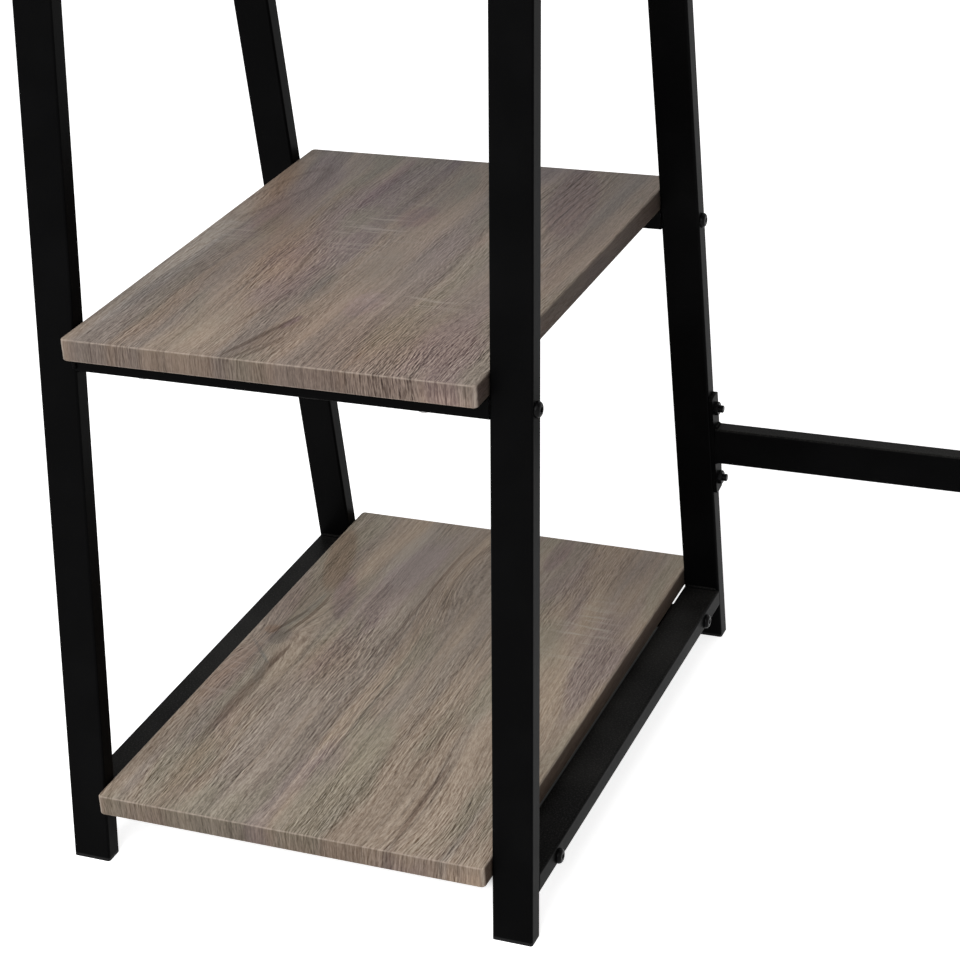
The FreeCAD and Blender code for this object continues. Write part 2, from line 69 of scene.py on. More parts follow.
def maths(tree, operation, *values, clamp=False):
    node = addNode(tree, "ShaderNodeMath", operation=operation, use_clamp=clamp)
    for socket, value in zip(node.inputs, values):
        feed(tree, socket, value)
    return node.outputs[0]


def vectorMaths(tree, operation, *values):
    node = addNode(tree, "ShaderNodeVectorMath", operation=operation)
    for socket, value in zip(node.inputs, values):
        feed(tree, socket, value)
    return node.outputs["Value" if operation in ("LENGTH", "DOT_PRODUCT") else "Vector"]


def noise(tree, vector, stretch, detail=2.0, roughness=0.5, distortion=0.0):
    scaled = vectorMaths(tree, "MULTIPLY", vector, stretch)
    node = addNode(tree, "ShaderNodeTexNoise")
    feed(tree, node.inputs["Vector"], scaled)
    feed(tree, node.inputs["Scale"], 1.0)
    feed(tree, node.inputs["Detail"], detail)
    feed(tree, node.inputs["Roughness"], roughness)
    feed(tree, node.inputs["Distortion"], distortion)
    return node.outputs[0]


def remap(tree, value, low, high, toLow=0.0, toHigh=1.0):
    node = addNode(tree, "ShaderNodeMapRange", interpolation_type="SMOOTHSTEP")
    for socket, item in zip(node.inputs, (value, low, high, toLow, toHigh)):
        feed(tree, socket, item)
    return node.outputs[0]


def joinUp(tree, x, y, z):
    node = addNode(tree, "ShaderNodeCombineXYZ")
    for socket, value in zip(node.inputs, (x, y, z)):
        feed(tree, socket, value)
    return node.outputs[0]


def takeApart(tree, vector):
    node = addNode(tree, "ShaderNodeSeparateXYZ")
    tree.links.new(vector, node.inputs[0])
    return node.outputs


def blendColours(tree, amount, first, second, mode="MIX"):
    node = addNode(tree, "ShaderNodeMix", data_type="RGBA", blend_type=mode)
    feed(tree, node.inputs[0], amount)
    feed(tree, node.inputs[6], first)
    feed(tree, node.inputs[7], second)
    return node.outputs[2]


def newGroup(name, inputs, outputs):
    tree = bpy.data.node_groups.new(name, "ShaderNodeTree")
    for label, kind in inputs:
        tree.interface.new_socket(label, in_out="INPUT", socket_type="NodeSocket" + kind)
    for label, kind in outputs:
        tree.interface.new_socket(label, in_out="OUTPUT", socket_type="NodeSocket" + kind)
    return tree, addNode(tree, "NodeGroupInput"), addNode(tree, "NodeGroupOutput")


def useGroup(tree, group, **values):
    node = addNode(tree, "ShaderNodeGroup", node_tree=group)
    node.label = group.name
    for name, value in values.items():
        feed(tree, node.inputs[name], value)
    return node


def newMaterial(name):
    material = bpy.data.materials.new(name)
    material.use_nodes = True
    tree = material.node_tree
    tree.nodes.clear()
    output = addNode(tree, "ShaderNodeOutputMaterial")
    shader = addNode(tree, "ShaderNodeBsdfPrincipled")
    tree.links.new(shader.outputs[0], output.inputs["Surface"])
    return material, tree, shader


def addBump(tree, shader, height, strength, distance):
    bump = addNode(tree, "ShaderNodeBump")
    feed(tree, bump.inputs["Strength"], strength)
    feed(tree, bump.inputs["Distance"], distance)
    feed(tree, bump.inputs["Height"], height)
    tree.links.new(bump.outputs[0], shader.inputs["Normal"])


# shared effects

def fallOff(tree, square):  # 1 in the middle of an oval, fading outwards as a bell does
    return maths(tree, "POWER", 2.718, maths(tree, "MULTIPLY", square, -1.0))


def makeWander():  # the grain wanders sideways: Near by a hair, Far by a finger's width
    tree, inside, out = newGroup(
        "wander", [("Grain", "Vector"), ("Seed", "Float")], [("Near", "Vector"), ("Far", "Vector")])
    place = takeApart(tree, inside.outputs["Grain"])
    seeded = joinUp(tree, place[0], place[1], inside.outputs["Seed"])

    def swing(across, stretch, reach):
        shift = maths(tree, "SUBTRACT", noise(tree, seeded, stretch), 0.5)
        return maths(tree, "MULTIPLY_ADD", shift, reach, across)

    near = swing(swing(place[0], (48, 13, 1), 0.0044), (210, 60, 1), 0.0009)
    far = swing(near, (8, 3.2, 1), 0.024)
    tree.links.new(joinUp(tree, near, place[1], 0.0), out.inputs["Near"])
    tree.links.new(joinUp(tree, far, place[1], 0.0), out.inputs["Far"])
    return tree


def makeGrainBend():  # grain that swings round a knot or runs up to a point
    tree, inside, out = newGroup(
        "grainBend",
        [("Grain", "Vector"), ("Centre", "Vector"), ("Reach", "Vector"), ("Push", "Float")],
        [("Grain", "Vector")])
    away = vectorMaths(tree, "SUBTRACT", inside.outputs["Grain"], inside.outputs["Centre"])
    away = vectorMaths(tree, "DIVIDE", away, inside.outputs["Reach"])
    square = vectorMaths(tree, "DOT_PRODUCT", away, away)
    near = fallOff(tree, square)
    shift = joinUp(tree, maths(tree, "MULTIPLY", near, inside.outputs["Push"]), 0.0, 0.0)
    tree.links.new(vectorMaths(tree, "ADD", inside.outputs["Grain"], shift), out.inputs["Grain"])
    return tree


def makeSoftSpot():  # an oval, leaning and bowed if asked, soft or crisp, with rings round its middle
    tree, inside, out = newGroup(
        "softSpot",
        [("Grain", "Vector"), ("Centre", "Vector"), ("Reach", "Vector"), ("Lean", "Float"),
         ("Bow", "Float"), ("Crisp", "Float"), ("Rings", "Float")],
        [("Mask", "Float"), ("Lines", "Float")])
    away = vectorMaths(tree, "SUBTRACT", inside.outputs["Grain"], inside.outputs["Centre"])
    away = takeApart(tree, away)
    slant = maths(tree, "MULTIPLY_ADD", away[1], inside.outputs["Bow"], inside.outputs["Lean"])
    across = maths(tree, "SUBTRACT", away[0], maths(tree, "MULTIPLY", away[1], slant))
    scaled = vectorMaths(tree, "DIVIDE", joinUp(tree, across, away[1], 0.0), inside.outputs["Reach"])
    square = vectorMaths(tree, "DOT_PRODUCT", scaled, scaled)
    soft = fallOff(tree, square)
    crisp = maths(tree, "SUBTRACT", remap(tree, soft, 0.30, 0.55), soft)
    turns = maths(tree, "MULTIPLY", maths(tree, "SQRT", square), inside.outputs["Rings"])
    wave = maths(tree, "COSINE", maths(tree, "MULTIPLY", turns, math.tau))
    lines = maths(tree, "MULTIPLY", remap(tree, wave, 0.45, 1.0), remap(tree, soft, 0.12, 0.45))
    tree.links.new(maths(tree, "MULTIPLY_ADD", crisp, inside.outputs["Crisp"], soft), out.inputs["Mask"])
    tree.links.new(lines, out.inputs["Lines"])
    return tree


def makeDustAndTopLight():  # a thin pale film on what faces up: dust, and on the frame paint mostly painted light on the tops
    tree, inside, out = newGroup(
        "dustAndTopLight", [("Vector", "Vector"), ("Amount", "Float")], [("Mask", "Float")])
    facing = takeApart(tree, addNode(tree, "ShaderNodeNewGeometry").outputs["Normal"])
    upward = remap(tree, facing[2], 0.2, 1.0)
    specks = remap(tree, noise(tree, inside.outputs["Vector"], (900, 900, 900), 3.0, 0.7), 0.45, 0.75)
    cloud = remap(tree, noise(tree, inside.outputs["Vector"], (14, 14, 14), 2.0), 0.3, 0.75)
    film = maths(tree, "ADD", specks, maths(tree, "MULTIPLY", cloud, 0.5))
    film = maths(tree, "MULTIPLY", film, upward)
    film = maths(tree, "MULTIPLY", film, inside.outputs["Amount"], clamp=True)
    tree.links.new(film, out.inputs["Mask"])
    return tree


foilTones = {
    "tan": (0.326, 0.256, 0.204, 1),
    "grey": (0.274, 0.227, 0.196, 1),
    "violet": (0.252, 0.199, 0.191, 1),
    "olive": (0.266, 0.234, 0.186, 1),
    "fleckLight": (0.400, 0.350, 0.305, 1),
    "press": (0.166, 0.148, 0.129, 1),
    "floor": (0.060, 0.048, 0.040, 1),
}
foilGrain = {"bands": 0.74, "base": 1.03, "figure": -0.17, "darkest": 0.22, "pores": -0.13,
             "paintedFlank": 2.0, "flankShift": 0.00055, "threads": 0.15, "dashes": 0.17, "cracks": -0.22}


def makeOakFoil():  # weathered oak: Grain is metres across (X) and along (Y) the grain
    tree, inside, out = newGroup(
        "oakFoil",
        [("Grain", "Vector"), ("Seed", "Float"), ("Figure", "Float"), ("Stroke", "Float"),
         ("Ripple", "Float")],
        [("Colour", "Color"), ("Height", "Float"), ("Roughness", "Float")])
    place = takeApart(tree, inside.outputs["Grain"])
    grain = joinUp(tree, place[0], place[1], inside.outputs["Seed"])
    beside = vectorMaths(tree, "ADD", grain, (foilGrain["flankShift"], 0, 0))

    tone = remap(tree, noise(tree, grain, (36, 2.4, 1), 3.0, 0.6), 0.40, 0.60)
    violet = remap(tree, noise(tree, grain, (21, 5.0, 3), 2.0), 0.53, 0.66, 0.0, 0.75)
    olive = remap(tree, noise(tree, grain, (26, 6.5, 31), 2.0), 0.53, 0.66, 0.0, 0.70)
    colour = blendColours(tree, tone, foilTones["tan"], foilTones["grey"])
    colour = blendColours(tree, violet, colour, foilTones["violet"])
    colour = blendColours(tree, olive, colour, foilTones["olive"])

    # broad bands and growth lines, gathered here and there
    bands = maths(tree, "SUBTRACT", noise(tree, grain, (95, 2.4, 5), 4.0, 0.62), 0.5)
    sway = maths(tree, "MULTIPLY", noise(tree, grain, (13, 2.2, 37), 2.0), 42.0)
    rings = maths(tree, "SINE", maths(tree, "MULTIPLY_ADD", place[0], 1400.0, sway))
    rings = maths(tree, "MULTIPLY", remap(tree, rings, 0.30, 1.0),
                  remap(tree, noise(tree, grain, (40, 5.0, 41), 2.0), 0.46, 0.66))
    lines = remap(tree, noise(tree, grain, (340, 6.0, 7), 3.0, 0.6), 0.56, 0.66)

    # short pressed pores, each with a painted lit side and a painted shaded side, long threads, fine
    # dashes, a few cracks
    crowd = remap(tree, noise(tree, grain, (30, 9, 13), 2.0), 0.40, 0.60, 0.35, 1.40)
    pressed = noise(tree, grain, (900, 104, 11), 1.5, 0.5)
    paintedFlank = maths(tree, "SUBTRACT", pressed, noise(tree, beside, (900, 104, 11), 1.5, 0.5))
    pores = maths(tree, "MULTIPLY", remap(tree, pressed, 0.50, 0.60), crowd)
    paintedFlank = maths(tree, "MULTIPLY", paintedFlank, crowd)
    thread = noise(tree, grain, (620, 9, 29), 2.0, 0.5)
    threads = maths(tree, "SUBTRACT", remap(tree, thread, 0.45, 0.38), remap(tree, thread, 0.54, 0.61))
    dashes = remap(tree, noise(tree, grain, (1150, 210, 19), 2.0, 0.6), 0.43, 0.57, -1.0, 1.0)
    cracks = remap(tree, noise(tree, grain, (700, 26, 17), 1.5, 0.5), 0.62, 0.67)

    shade = maths(tree, "MULTIPLY_ADD", bands, foilGrain["bands"], foilGrain["base"])
    figure = maths(tree, "MULTIPLY_ADD", lines, 0.8, rings)
    figure = maths(tree, "MULTIPLY", figure, inside.outputs["Figure"])
    shade = maths(tree, "MULTIPLY_ADD", figure, foilGrain["figure"], shade)
    shade = maths(tree, "MAXIMUM", shade, foilGrain["darkest"])
    colour = vectorMaths(tree, "MULTIPLY", colour, joinUp(tree, shade, shade, shade))
    fine = maths(tree, "MULTIPLY_ADD", pores, foilGrain["pores"], 0.02)
    for part, name in ((paintedFlank, "paintedFlank"), (threads, "threads"), (dashes, "dashes"), (cracks, "cracks")):
        fine = maths(tree, "MULTIPLY_ADD", part, foilGrain[name], fine)
    fine = maths(tree, "MULTIPLY", fine, inside.outputs["Stroke"])
    fine = vectorMaths(tree, "MULTIPLY", joinUp(tree, fine, fine, fine), foilTones["press"][:3])
    colour = vectorMaths(tree, "ADD", colour, fine)
    colour = vectorMaths(tree, "MAXIMUM", colour, foilTones["floor"][:3])

    cross = remap(tree, noise(tree, grain, (26, 230, 23), 3.0, 0.6), 0.53, 0.63)
    cross = maths(tree, "MULTIPLY", cross, inside.outputs["Ripple"])
    colour = blendColours(tree, cross, colour, foilTones["fleckLight"])

    relief = maths(tree, "MULTIPLY_ADD", cracks, -2.0, maths(tree, "MULTIPLY", pores, -1.5))
    relief = maths(tree, "MULTIPLY_ADD", dashes, 0.4, relief)
    relief = maths(tree, "MULTIPLY_ADD", figure, -0.7, relief)
    sheen = maths(tree, "MULTIPLY_ADD", pores, 0.08, 0.56)
    sheen = maths(tree, "MULTIPLY_ADD", tone, 0.06, sheen)
    tree.links.new(colour, out.inputs["Colour"])
    tree.links.new(relief, out.inputs["Height"])
    tree.links.new(sheen, out.inputs["Roughness"])
    return tree


def makeCoatSkin():  # sprayed and baked paint: fine peel, faint clouds
    tree, inside, out = newGroup(
        "coatSkin",
        [("Vector", "Vector"), ("Paint", "Color"), ("Worn", "Color"), ("Peel", "Float"),
         ("Sheen", "Float")],
        [("Colour", "Color"), ("Height", "Float"), ("Roughness", "Float")])
    cloud = noise(tree, inside.outputs["Vector"], (22, 22, 22), 3.0)
    grit = noise(tree, inside.outputs["Vector"], (1400, 1400, 1400), 2.0, 0.6)
    peel = noise(tree, inside.outputs["Vector"], (430, 430, 430), 2.0, 0.5)
    paint, worn = inside.outputs["Paint"], inside.outputs["Worn"]
    colour = blendColours(tree, remap(tree, cloud, 0.35, 0.7, 0.0, 0.35), paint, worn)
    colour = blendColours(tree, remap(tree, grit, 0.62, 0.80, 0.0, 0.3), colour, worn)
    height = maths(tree, "MULTIPLY_ADD", grit, 0.35, peel)
    height = maths(tree, "MULTIPLY", height, inside.outputs["Peel"])
    shine = maths(tree, "MULTIPLY_ADD", cloud, 0.10, inside.outputs["Sheen"])
    shine = maths(tree, "MULTIPLY_ADD", grit, 0.08, shine)
    tree.links.new(colour, out.inputs["Colour"])
    tree.links.new(height, out.inputs["Height"])
    tree.links.new(shine, out.inputs["Roughness"])
    return tree


wander = makeWander()
grainBend = makeGrainBend()
softSpot = makeSoftSpot()
dustAndTopLight = makeDustAndTopLight()
oakFoil = makeOakFoil()
coatSkin = makeCoatSkin()
print("shared effects:", len(bpy.data.node_groups))


# finishes

tints = {
    "umber": (0.86, 0.74, 0.68, 1), "brown": (0.93, 0.82, 0.74, 1), "warm": (1.08, 0.93, 0.83, 1),
    "plum": (0.79, 0.73, 0.83, 1), "purple": (0.88, 0.80, 0.87, 1), "rose": (0.90, 0.83, 0.84, 1),
    "haze": (1.08, 1.04, 1.14, 1), "blueGrey": (1.20, 1.29, 1.36, 1), "slate": (0.80, 0.84, 0.87, 1),
    "charcoal": (0.66, 0.66, 0.70, 1), "dark": (0.56, 0.51, 0.49, 1), "shade": (0.80, 0.79, 0.81, 1),
    "pale": (1.16, 1.17, 1.13, 1), "bright": (1.26, 1.26, 1.24, 1), "paintedHighlight": (1.62, 1.58, 1.52, 1),
    "paintedBackShade": (0.70, 0.745, 0.79, 1), "line": (0.50, 0.45, 0.43, 1), "side": (0.30, 0.27, 0.26, 1),
}
# lit is the colour of the painted highlight on eased edges and corners, show is its strength
foilEdge = {"lit": (0.44, 0.37, 0.31, 1), "show": 0.66, "stroke": -0.50}
foilSkin = {"film": (0.36, 0.34, 0.31, 1), "dustAndTopLight": 0.04, "specular": 0.10, "bump": 0.7,
            "bumpDepth": 0.00012, "ripple": 0.03}
# colour of the pale film on upward faces: dust, and on the frame mostly painted light on the tops
coatDustAndTopLight = (0.16, 0.155, 0.145, 1)


def oakMaterial(name, board):
    material, tree, shader = newMaterial(name)
    start = addNode(tree, "ShaderNodeUVMap", uv_map="grain").outputs[0]
    strayed = useGroup(tree, wander, Grain=start, Seed=board["seed"]).outputs
    grain = strayed["Far"]

    def useSpot(spot):
        return useGroup(tree, softSpot, Grain=strayed["Near"], Centre=(*spot["at"], 0),
                        Reach=(*spot["reach"], 1), Lean=spot.get("lean", 0.0), Bow=spot.get("bow", 0.0),
                        Crisp=spot.get("crisp", 0.0), Rings=spot.get("rings", 0.0)).outputs

    def gather(spots, total):
        for spot in spots:
            total = maths(tree, "MULTIPLY_ADD", useSpot(spot)["Mask"], spot["amount"], total)
        return total

    def tinted(colour, amount, tint):
        return blendColours(tree, amount, colour, tints[tint], "MULTIPLY")

    side = addNode(tree, "ShaderNodeAttribute", attribute_name="side").outputs["Fac"]
    stroke = gather(board["coarse"], board["stroke"])
    stroke = maths(tree, "MULTIPLY_ADD", side, foilEdge["stroke"], stroke)
    for bend in board["bends"]:
        grain = useGroup(tree, grainBend, Grain=grain, Centre=(*bend["at"], 0),
                         Reach=(*bend["reach"], 1), Push=bend["push"]).outputs["Grain"]
    foil = useGroup(tree, oakFoil, Grain=grain, Seed=board["seed"], Stroke=stroke,
                    Figure=gather(board["figured"], board["figure"]),
                    Ripple=gather(board["ripples"], foilSkin["ripple"])).outputs
    colour = foil["Colour"]
    for spot in board["patches"]:
        amount = maths(tree, "MULTIPLY", useSpot(spot)["Mask"], spot["amount"])
        colour = tinted(colour, amount, spot["tint"])
    for spot in board["whorls"]:
        amount = maths(tree, "MULTIPLY", useSpot(spot)["Lines"], spot["amount"])
        colour = tinted(colour, amount, "line")
    # painted shade: the board's sides darker, most on the ±x sides
    colour = tinted(colour, side, "side")
    # painted highlight along the eased edges and upright corners, broken up by noise
    paintedRimHighlight = addNode(tree, "ShaderNodeAttribute", attribute_name="paintedRimHighlight").outputs["Fac"]
    broken = remap(tree, noise(tree, grain, (330, 90, 330), 2.0), 0.35, 0.60, 0.35, 1.0)
    paintedRimHighlight = maths(tree, "MULTIPLY", maths(tree, "MULTIPLY", paintedRimHighlight, broken), foilEdge["show"])
    colour = blendColours(tree, paintedRimHighlight, colour, foilEdge["lit"])
    place = addNode(tree, "ShaderNodeTexCoord").outputs["Object"]
    film = useGroup(tree, dustAndTopLight, Vector=place, Amount=foilSkin["dustAndTopLight"]).outputs["Mask"]
    colour = blendColours(tree, film, colour, foilSkin["film"])
    tree.links.new(colour, shader.inputs["Base Color"])
    tree.links.new(maths(tree, "ADD", foil["Roughness"], film), shader.inputs["Roughness"])
    shader.inputs["Specular IOR Level"].default_value = foilSkin["specular"]
    addBump(tree, shader, foil["Height"], foilSkin["bump"], foilSkin["bumpDepth"])
    return material


def backingMaterial():
    sheet = {"pale": (0.235, 0.205, 0.175, 1), "deep": (0.175, 0.150, 0.128, 1)}
    material, tree, shader = newMaterial("boardBacking")
    place = addNode(tree, "ShaderNodeTexCoord").outputs["Object"]
    fibre = noise(tree, place, (260, 70, 260), 4.0, 0.7)
    cloud = noise(tree, place, (11, 7, 11), 3.0)
    colour = blendColours(tree, remap(tree, fibre, 0.35, 0.7), sheet["pale"], sheet["deep"])
    colour = blendColours(tree, remap(tree, cloud, 0.4, 0.7, 0.0, 0.35), colour, sheet["deep"])
    tree.links.new(colour, shader.inputs["Base Color"])
    tree.links.new(remap(tree, fibre, 0.3, 0.7, 0.62, 0.78), shader.inputs["Roughness"])
    addBump(tree, shader, fibre, 0.2, 0.0002)
    return material


def coatMaterial(name, coat):
    material, tree, shader = newMaterial(name)
    place = addNode(tree, "ShaderNodeTexCoord").outputs["Object"]
    skin = useGroup(tree, coatSkin, Vector=place, Paint=coat["paint"], Worn=coat["worn"],
                    Peel=coat["peel"], Sheen=coat["sheen"])
    film = useGroup(tree, dustAndTopLight, Vector=place, Amount=coat["dustAndTopLight"]).outputs["Mask"]
    colour = blendColours(tree, film, skin.outputs["Colour"], coatDustAndTopLight)
    tree.links.new(colour, shader.inputs["Base Color"])
    tree.links.new(maths(tree, "ADD", skin.outputs["Roughness"], film), shader.inputs["Roughness"])
    shader.inputs["Specular IOR Level"].default_value = coat["specular"]
    shader.inputs["Metallic"].default_value = coat["metal"]
    addBump(tree, shader, skin.outputs["Height"], coat["bump"], 0.0001)
    return material


# the frame paint's pale film on upward faces is mostly painted light on the tops, partly dust
framePaint = {"paint": (0.0013, 0.0013, 0.0014, 1), "worn": (0.0036, 0.0036, 0.0038, 1), "peel": 1.0,
              "sheen": 0.30, "specular": 0.018, "metal": 0.0, "bump": 0.30, "dustAndTopLight": 0.16}
fastenerCoat = {"paint": (0.0030, 0.0030, 0.0033, 1), "worn": (0.010, 0.010, 0.010, 1), "peel": 0.6,
                "sheen": 0.16, "specular": 0.05, "metal": 0.0, "bump": 0.25, "dustAndTopLight": 0.01}
footPlastic = {"paint": (0.0045, 0.0045, 0.0048, 1), "worn": (0.010, 0.010, 0.010, 1), "peel": 1.4,
               "sheen": 0.50, "specular": 0.10, "metal": 0.0, "bump": 0.5, "dustAndTopLight": 0.03}
zincPlate = {"paint": (0.56, 0.56, 0.57, 1), "worn": (0.40, 0.41, 0.43, 1), "peel": 0.7,
             "sheen": 0.24, "specular": 0.5, "metal": 1.0, "bump": 0.25, "dustAndTopLight": 0.03}

# What shows on each board: at and reach are metres across and along the grain, lean and bow turn
# an oval, crisp hardens its edge, push bends the grain sideways.
upperShelf = {
    "node": "upper_shelf_board", "seed": 3.1, "figure": 0.8, "stroke": 0.85, "alongDesk": False,
    "bends": [
        {"at": (-0.480, 0.060), "reach": (0.030, 0.090), "push": -0.014},
        {"at": (-0.310, -0.120), "reach": (0.050, 0.090), "push": 0.008},
    ],
    "patches": [
        # painted shade: the shelf darker towards the back, under the desktop
        {"at": (-0.380, 0.210), "reach": (0.500, 0.140), "tint": "paintedBackShade", "amount": 1.0},
        {"at": (-0.502, 0.110), "reach": (0.011, 0.040), "lean": -0.25, "tint": "brown", "amount": 1.0},
        {"at": (-0.482, 0.050), "reach": (0.015, 0.042), "lean": -0.38, "crisp": 0.5, "tint": "brown",
         "amount": 0.55},
        {"at": (-0.440, -0.020), "reach": (0.024, 0.065), "lean": -0.34, "tint": "warm", "amount": 0.7},
        {"at": (-0.503, -0.050), "reach": (0.014, 0.100), "crisp": 0.4, "tint": "blueGrey", "amount": 1.0},
        {"at": (-0.498, 0.020), "reach": (0.014, 0.040), "tint": "slate", "amount": 0.7},
        {"at": (-0.401, 0.115), "reach": (0.005, 0.065), "crisp": 1.0, "tint": "plum", "amount": 0.5},
        {"at": (-0.386, 0.062), "reach": (0.012, 0.020), "crisp": 0.6, "tint": "purple", "amount": 1.0},
        {"at": (-0.430, 0.115), "reach": (0.005, 0.050), "crisp": 0.8, "tint": "purple", "amount": 0.8},
        {"at": (-0.301, 0.110), "reach": (0.017, 0.066), "lean": -0.22, "crisp": 0.7, "tint": "plum",
         "amount": 0.9},
        {"at": (-0.274, 0.100), "reach": (0.010, 0.060), "lean": -0.10, "tint": "slate", "amount": 0.7},
        {"at": (-0.379, 0.105), "reach": (0.009, 0.045), "crisp": 0.8, "tint": "slate", "amount": 0.6},
        {"at": (-0.3985, -0.136), "reach": (0.0022, 0.034), "lean": 0.30, "bow": -0.6, "crisp": 0.8,
         "tint": "dark", "amount": 1.0},
        {"at": (-0.3940, -0.138), "reach": (0.0066, 0.036), "lean": 0.28, "crisp": 0.6, "tint": "dark",
         "amount": 0.48},
        {"at": (-0.390, -0.113), "reach": (0.0034, 0.011), "lean": 0.20, "crisp": 0.8, "tint": "plum",
         "amount": 1.0},
        {"at": (-0.389, -0.150), "reach": (0.0018, 0.018), "lean": 0.30, "bow": -4.0, "crisp": 0.8,
         "tint": "dark", "amount": 0.9},
        {"at": (-0.397, -0.158), "reach": (0.0013, 0.014), "lean": 0.45, "crisp": 0.8, "tint": "dark",
         "amount": 0.7},
        {"at": (-0.416, -0.100), "reach": (0.0013, 0.034), "lean": 0.16, "crisp": 0.6, "tint": "dark",
         "amount": 0.7},
        {"at": (-0.395, -0.062), "reach": (0.008, 0.026), "crisp": 0.5, "tint": "slate", "amount": 1.0},
        {"at": (-0.360, -0.078), "reach": (0.011, 0.020), "crisp": 0.5, "tint": "haze", "amount": 1.0},
        {"at": (-0.345, 0.020), "reach": (0.020, 0.040), "tint": "haze", "amount": 0.6},
        {"at": (-0.440, -0.145), "reach": (0.020, 0.030), "tint": "pale", "amount": 0.9},
        {"at": (-0.325, -0.130), "reach": (0.050, 0.060), "tint": "warm", "amount": 0.7},
        # painted highlight at the right end of the front edge
        {"at": (-0.272, -0.180), "reach": (0.024, 0.016), "tint": "bright", "amount": 0.4},
        {"at": (-0.270, -0.184), "reach": (0.024, 0.010), "tint": "paintedHighlight", "amount": 0.8},
        {"at": (-0.424, -0.020), "reach": (0.0016, 0.036), "lean": -0.10, "crisp": 0.5, "tint": "dark",
         "amount": 0.6},
        {"at": (-0.470, -0.120), "reach": (0.0080, 0.050), "tint": "brown", "amount": 0.6},
        {"at": (-0.455, 0.100), "reach": (0.0060, 0.050), "lean": -0.10, "tint": "pale", "amount": 0.6},
        {"at": (-0.370, -0.020), "reach": (0.016, 0.036), "tint": "slate", "amount": 0.9},
        {"at": (-0.272, 0.020), "reach": (0.010, 0.050), "tint": "shade", "amount": 0.8},
    ],
    "whorls": [
        {"at": (-0.492, 0.084), "reach": (0.012, 0.050), "lean": 0.20, "rings": 1.0, "amount": 0.40},
        {"at": (-0.484, -0.090), "reach": (0.008, 0.060), "rings": 1.3, "amount": 0.25},
    ],
    "figured": [
        {"at": (-0.300, 0.100), "reach": (0.030, 0.080), "amount": 0.9},
        {"at": (-0.430, -0.080), "reach": (0.020, 0.050), "amount": 0.9},
        {"at": (-0.486, -0.090), "reach": (0.010, 0.060), "amount": 0.5},
        {"at": (-0.425, 0.090), "reach": (0.020, 0.060), "amount": 0.7},
    ],
    "coarse": [
        {"at": (-0.290, -0.150), "reach": (0.060, 0.075), "amount": 0.85},
        {"at": (-0.440, -0.030), "reach": (0.030, 0.050), "amount": 0.6},
        {"at": (-0.400, -0.200), "reach": (0.300, 0.080), "amount": 0.5},
    ],
    "ripples": [
        {"at": (-0.404, 0.036), "reach": (0.026, 0.040), "amount": 0.70},
        {"at": (-0.325, -0.066), "reach": (0.028, 0.014), "amount": 0.60},
        {"at": (-0.488, 0.012), "reach": (0.012, 0.020), "amount": 0.50},
    ]}
